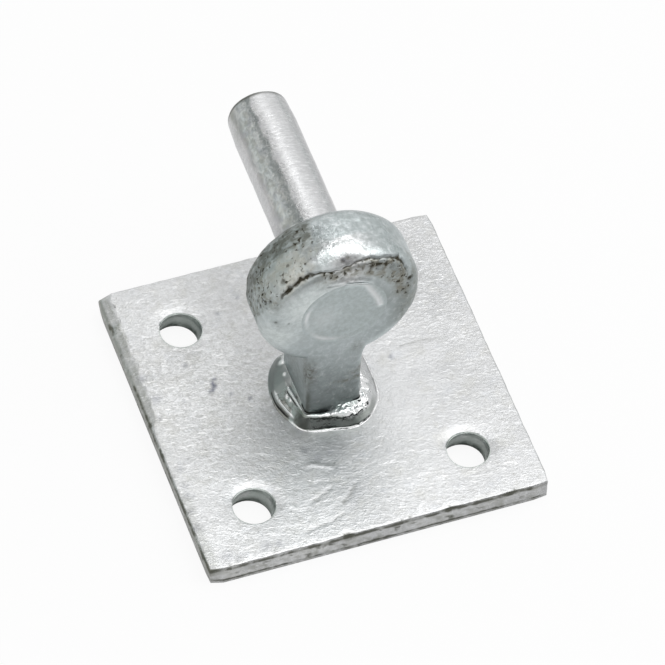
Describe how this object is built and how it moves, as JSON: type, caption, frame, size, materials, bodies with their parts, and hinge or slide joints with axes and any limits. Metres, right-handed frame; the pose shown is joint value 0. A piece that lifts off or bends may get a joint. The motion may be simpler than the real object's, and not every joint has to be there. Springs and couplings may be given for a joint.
{
  "type": "gate hinge pin",
  "caption": "Gate hinge pin: a plain round pin riveted through a thick forged eye, on a short shank welded to a square plate with corner bolt holes.",
  "frame": {"origin": "centre of the plate's back face", "axes": "+Z out of the plate's front face, +Y along the pin towards its free end, +X along the plate's edge nearest the eye's front"},
  "size_m": [0.1, 0.1143, 0.0771],
  "materials": {
    "galvanised_plate": "hot-dip galvanised, matt to satin, with fine runs and ripples",
    "galvanised_forging": "hot-dip galvanised forging, satin, pitted, grime in the lap round its front",
    "galvanised_pin": "hot-dip galvanised round bar, satin",
    "galvanised_weld": "hot-dip galvanised weld bead, glossy and lumpy"
  },
  "bodies": {
    "root": {"back_plate": "galvanised_plate", "eye_shank": "galvanised_forging", "hinge_pin": "galvanised_pin", "base_weld": "galvanised_weld"}
  },
  "joints": []
}
